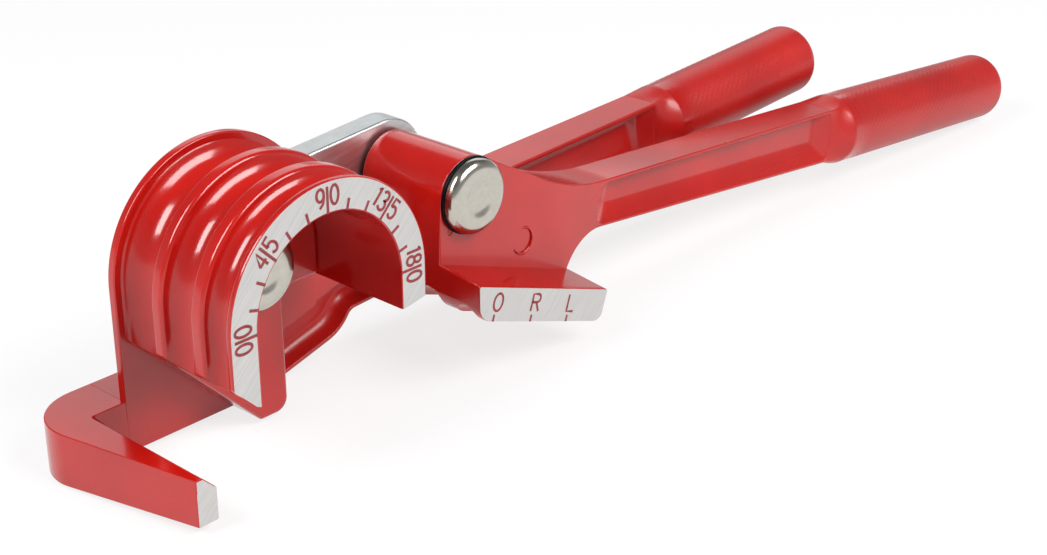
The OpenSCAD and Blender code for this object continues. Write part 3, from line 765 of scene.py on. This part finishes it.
STROKES = {
    "0": [bow(0, 0.5, 0.46, 0.5, 90, 449, 28)],
    "1": [np.array([[-0.22, 0.8], [0.05, 1.0], [0.05, 0.0]])],
    "3": [np.concatenate([bow(0, 0.76, 0.4, 0.24, 155, -90),
                          bow(0, 0.26, 0.46, 0.26, 90, -155)[1:]])],
    "4": [np.array([[0.24, 0.0], [0.24, 1.0], [-0.46, 0.3]]), np.array([[-0.5, 0.3], [0.5, 0.3]])],
    "5": [np.concatenate([[[0.4, 1.0], [-0.34, 1.0], [-0.4, 0.56]],
                          bow(0, 0.32, 0.45, 0.32, 130, -150)])],
    "8": [bow(0, 0.76, 0.36, 0.24, 90, 449, 20), bow(0, 0.27, 0.45, 0.27, 90, 449, 24)],
    "9": [bow(0, 0.68, 0.43, 0.32, 0, 359, 24),
          np.array([[0.43, 0.68], [0.41, 0.48], [0.3, 0.2], [-0.1, 0.0]])],
    "R": [np.concatenate([[[-0.4, 0.0], [-0.4, 1.0], [0.05, 1.0]],
                          bow(0.1, 0.76, 0.33, 0.24, 80, -90), [[-0.38, 0.52]]]),
          np.array([[0.05, 0.52], [0.44, 0.0]])],
    "L": [np.array([[-0.35, 1.0], [-0.35, 0.0], [0.4, 0.0]])]}


def strip(line, width, y0, y1):
    """Thin bar along a stroke: four corners at each point, half a width to either side."""
    run = np.gradient(line, axis=0)
    n = np.stack([-run[:, 1], run[:, 0]], -1) / np.linalg.norm(run, axis=1, keepdims=True)
    a, b = line - n * width / 2, line + n * width / 2
    return np.stack([level(p, y) for p, y in ((a, y0), (b, y0), (b, y1), (a, y1))], 1)


def marks(name, lines, width, y0, y1, place, body):
    """All strokes of one face as one piece of paint; neighbours differ in height by a hair."""
    stacks = [strip(line, width, y0 - 0.003 * (i % 4), y1) for i, line in enumerate(lines)]
    ends = [[(i, e)] for i in range(len(stacks)) for e in (0, -1)]
    skin(name, stacks, ends, place, body, [mark_paint])


def figure(text, base, up_deg, wide, tall):
    """Strokes of a row of figures centred on base, with its top towards up_deg."""
    across_way, up_way = unit(up_deg - 90), unit(up_deg)
    shift = (np.arange(len(text)) - (len(text) - 1) / 2) * wide * 0.95
    return [base + (s[:, :1] * wide + d) * across_way + s[:, 1:] * tall * up_way
            for d, letter in zip(shift, text) for s in STROKES[letter]]


long_line, short_line, tall = 5.3, 2.3, 3.7
scale = []
for i in range(13):
    way = unit(180 - 15 * i)
    reach = short_line if i % 3 else long_line
    scale.append(np.stack([way * (arch_r + 0.05), way * (arch_r + reach)]))
for deg, left, after in ((0, "0", "0"), (45, "4", "5"), (90, "9", "0"), (135, "13", "5"),
                         (180, "18", "0")):
    out = 180 - deg
    for text, side in ((left, -1), (after, 1)):
        aside = side * (0.75 + 0.95 * len(text))
        base = unit(out) * (arch_r + 1.5) + unit(out - 90) * aside
        scale += figure(text, base, out, 2.0, tall)
marks("degree_marks", scale, 0.6, -0.025, 0.05, on_body, "body")
index = []
for x, letter in ((2.8, "0"), (14.8, "R"), (26.6, "L")):
    index += figure(letter, np.array([x, -21.2]), 90, 2.9, tall)
index += [np.array([[x, land_z + 0.05], [x, land_z + 1.5]]) for x in (2.4, 14.3, 26.2)]
marks("index_marks", index, 0.55, 0.175, 0.24, on_handle, "handle")

# %% [markdown]
# ## Studio
# The photograph was taken on white under broad soft lamps: one high before the tool, one at
# the left that draws the streaks in the grooves, and a weak card behind. The room is a dim
# grey, paler near the horizon. The floor alone glows white, for the camera and for shiny
# metal, and it keeps a soft shadow.

# %% Floor, lamps and world


def lamp(name, at, aim, size, watts):
    """Rectangular soft lamp at a point in metres, turned to face the aim."""
    data = bpy.data.lights.new(name, "AREA")
    data.shape, data.size, data.size_y, data.energy = "RECTANGLE", size[0], size[1], watts
    o = bpy.data.objects.new(name, data)
    bpy.context.scene.collection.objects.link(o)
    facing = (Vector(at) - Vector(aim)).to_track_quat("Z", "Y").to_matrix().to_4x4()
    o.matrix_world = Matrix.Translation(at) @ facing


far, under = 40, -0.0005
floor_mesh = bpy.data.meshes.new("floor")
floor_mesh.from_pydata([(-far, -far, under), (far, -far, under), (far, far, under),
                        (-far, far, under)], [], [(0, 1, 2, 3)])
floor = bpy.data.objects.new("floor", floor_mesh)
bpy.context.scene.collection.objects.link(floor)
floor_white, tree, shader = blank("white_floor")
ray = put(tree, "LightPath").outputs
seen = ray["Is Camera Ray"]
for kind in ("Is Glossy Ray", "Is Transmission Ray"):
    seen = put(tree, "Math", {0: seen, 1: ray[kind]}, operation="MAXIMUM").outputs[0]
glow = put(tree, "Emission", {"Color": (1, 1, 1, 1), "Strength": 1.0})
mix = put(tree, "MixShader", {0: spread(tree, seen, 0.0, 0.78), 1: shader.outputs[0],
                              2: glow.outputs[0]})
tree.links.new(mix.outputs[0], tree.nodes["Material Output"].inputs["Surface"])
shader.inputs["Base Color"].default_value = (0.9, 0.9, 0.9, 1)
shader.inputs["Roughness"].default_value = 0.9
floor_mesh.materials.append(floor_white)

world = bpy.data.worlds.new("grey room")
bpy.context.scene.world = world
world.use_nodes = True
tree = world.node_tree
sky_way = put(tree, "TexCoord").outputs["Generated"]
height = put(tree, "SeparateXYZ", {0: sky_way}).outputs["Z"]
room = shades(tree, height, (0.0, "#B4B4B4"), (0.55, "#6E6E6E"))
tree.links.new(room, tree.nodes["Background"].inputs["Color"])
middle = (-0.09, 0, 0.03)
lamp("front softbox", (0.08, -0.57, 0.59), middle, (0.6, 0.36), 7.1)
lamp("left softbox", (-0.67, 0.12, 0.57), middle, (0.34, 0.42), 5.4)
lamp("back card", (0.55, 0.62, 0.5), middle, (1.0, 0.5), 1.5)
bpy.context.scene.view_settings.view_transform = "Standard"
print("stage set")
